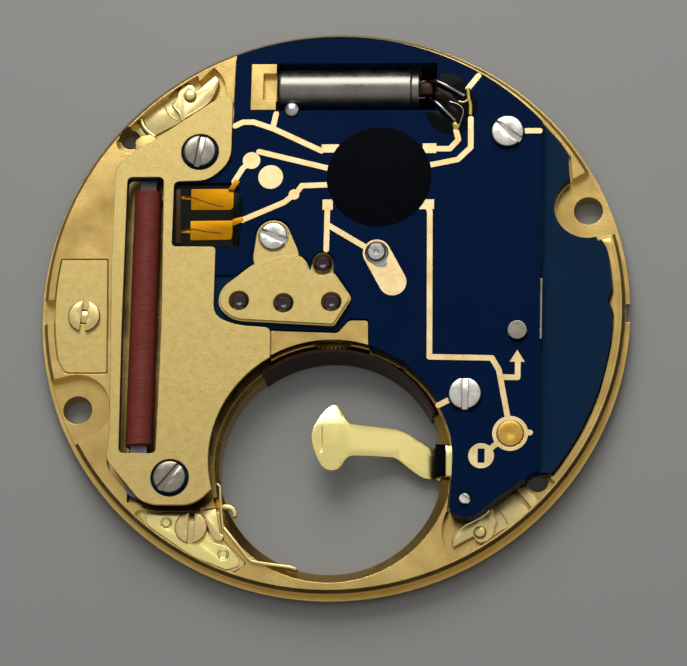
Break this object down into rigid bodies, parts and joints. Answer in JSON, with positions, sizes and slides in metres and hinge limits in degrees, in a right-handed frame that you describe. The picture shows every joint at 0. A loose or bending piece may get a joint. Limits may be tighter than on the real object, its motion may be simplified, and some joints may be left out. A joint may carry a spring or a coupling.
{
  "type": "watch movement",
  "caption": "Round quartz watch movement: gilt plate with blue electronic module, coil, crystal, jewelled train bridge, keyless work and an open battery well with its spring strap.",
  "frame": {"origin": "centre seconds axis, on the dial-side face of the main plate", "axes": "+Z from the dial side to the battery side, +X out along the winding stem, +Y away from the battery well"},
  "size_m": [0.026, 0.026, 0.0025],
  "materials": {
    "gilt_plate": "fine-turned gilt brass",
    "matte_gilt": "fine-grained matt gilt",
    "bright_gilt": "polished pale gilt",
    "gilt_screw": "turned gilt steel",
    "moulded_blue": "moulded dark blue plastic",
    "board_blue": "blue lacquered circuit board",
    "track_gilt": "gilt copper track",
    "pad_gilt": "orange-gold gilt pad",
    "cap_black": "domed black epoxy",
    "can_nickel": "dark nickel plate",
    "solder": "dull tin solder",
    "board_dark": "dark green fibre board",
    "winding_red": "red enamelled copper wire",
    "soft_iron": "annealed nickel iron",
    "steel": "polished steel",
    "ruby": "polished synthetic ruby",
    "wheel_brass": "gilt brass wheel",
    "rotor_dark": "sintered magnet on steel",
    "insulator_brown": "dark brown moulded insulator"
  },
  "bodies": {
    "frame": {"main_plate": "gilt_plate", "module_carrier": "moulded_blue", "circuit_board": "board_blue", "circuit_tracks": "track_gilt", "circuit_cap": "cap_black", "crystal_can": "can_nickel", "crystal_leads": "solder", "crystal_seat": "pad_gilt", "solder_joints": "solder", "contact_rivet": "pad_gilt", "coil_terminal_board": "board_dark", "coil_terminal_pads": "pad_gilt", "coil_winding": "winding_red", "coil_core": "soft_iron", "coil_plate": "matte_gilt", "coil_screws": "steel", "stator": "soft_iron", "module_screws": "steel", "pillar_pin": "steel", "train_bridge": "matte_gilt", "bridge_screw": "steel", "bridge_jewels": "ruby", "plate_jewels": "ruby", "motion_cover": "steel", "motion_cover_screws": "steel", "reset_spring": "steel", "side_cover": "bright_gilt", "side_cover_screw": "gilt_screw", "fastener_pins": "bright_gilt", "foot_clips": "bright_gilt", "cell_clamp": "bright_gilt", "clamp_rivets": "bright_gilt", "cell_clamp_screw": "gilt_screw", "cell_contact_spring": "bright_gilt", "cell_strap": "bright_gilt", "well_insulator": "insulator_brown"},
    "rotor": {"rotor": "rotor_dark"},
    "intermediate": {"intermediate_wheel": "wheel_brass"},
    "third": {"third_wheel": "wheel_brass"},
    "seconds": {"seconds_wheel": "wheel_brass"},
    "centre": {"centre_wheel": "wheel_brass", "cannon_pinion": "steel"},
    "minute": {"minute_wheel": "wheel_brass"},
    "hour": {"hour_wheel": "wheel_brass"},
    "setting": {"setting_wheel": "steel"},
    "clutch": {"sliding_pinion": "steel"},
    "yoke": {"yoke": "steel"},
    "lever": {"setting_lever": "steel"},
    "fastener_upper": {"dial_fastener_upper": "bright_gilt"},
    "fastener_lower": {"dial_fastener_lower": "bright_gilt"}
  },
  "joints": [
    {"name": "seconds_turn", "type": "hinge", "parent": "frame", "child": "seconds", "pos_m": [0, 0, 0.00114], "axis": [0, 0, 1], "continuous": true},
    {"name": "rotor_turn", "type": "hinge", "parent": "frame", "child": "rotor", "pos_m": [-0.00406, 0.00006, 0.00114], "axis": [0, 0, 1], "continuous": true},
    {"name": "intermediate_turn", "type": "hinge", "parent": "frame", "child": "intermediate", "pos_m": [-0.0021, -0.00005, 0.00148], "axis": [0, 0, 1], "continuous": true},
    {"name": "third_turn", "type": "hinge", "parent": "frame", "child": "third", "pos_m": [-0.00043, 0.00178, 0.00088], "axis": [0, 0, 1], "continuous": true},
    {"name": "centre_turn", "type": "hinge", "parent": "frame", "child": "centre", "pos_m": [0, 0, 0.00064], "axis": [0, 0, 1], "continuous": true},
    {"name": "minute_turn", "type": "hinge", "parent": "frame", "child": "minute", "pos_m": [0.00164, 0.00114, 0.00024], "axis": [0, 0, 1], "continuous": true},
    {"name": "hour_turn", "type": "hinge", "parent": "frame", "child": "hour", "pos_m": [0, 0, 0.00012], "axis": [0, 0, 1], "continuous": true},
    {"name": "setting_wheel_turn", "type": "hinge", "parent": "frame", "child": "setting", "pos_m": [0.00386, 0, 0.00024], "axis": [0, 0, 1], "continuous": true},
    {"name": "setting_lever_swing", "type": "hinge", "parent": "frame", "child": "lever", "pos_m": [0.00814, -0.00125, 0.00142], "axis": [0, 0, 1], "range_deg": [-24, 0]},
    {"name": "yoke_swing", "type": "hinge", "parent": "frame", "child": "yoke", "pos_m": [0.007, 0.0024, 0.00142], "axis": [0, 0, 1], "range_deg": [-12, 0]},
    {"name": "sliding_pinion_slide", "type": "slide", "parent": "frame", "child": "clutch", "axis": [1, 0, 0], "range_m": [-0.0005, 0]},
    {"name": "upper_fastener_swing", "type": "hinge", "parent": "frame", "child": "fastener_upper", "pos_m": [-0.00668, 0.00996, 0.00097], "axis": [0, 0, 1], "range_deg": [-25, 0]},
    {"name": "lower_fastener_swing", "type": "hinge", "parent": "frame", "child": "fastener_lower", "pos_m": [0.0066, -0.01004, 0.00097], "axis": [0, 0, 1], "range_deg": [-25, 0]}
  ],
  "couplings": [
    {"joint": "rotor_turn", "follows": "seconds_turn", "ratio": 30},
    {"joint": "intermediate_turn", "follows": "seconds_turn", "ratio": -5},
    {"joint": "third_turn", "follows": "seconds_turn", "ratio": -0.13333},
    {"joint": "centre_turn", "follows": "seconds_turn", "ratio": 0.016667},
    {"joint": "minute_turn", "follows": "seconds_turn", "ratio": -0.0055556},
    {"joint": "hour_turn", "follows": "seconds_turn", "ratio": 0.0013889},
    {"joint": "setting_wheel_turn", "follows": "seconds_turn", "ratio": 0.0083333},
    {"joint": "setting_lever_swing", "follows": "sliding_pinion_slide", "rad_per_m": 837.76},
    {"joint": "yoke_swing", "follows": "sliding_pinion_slide", "rad_per_m": 418.88}
  ]
}
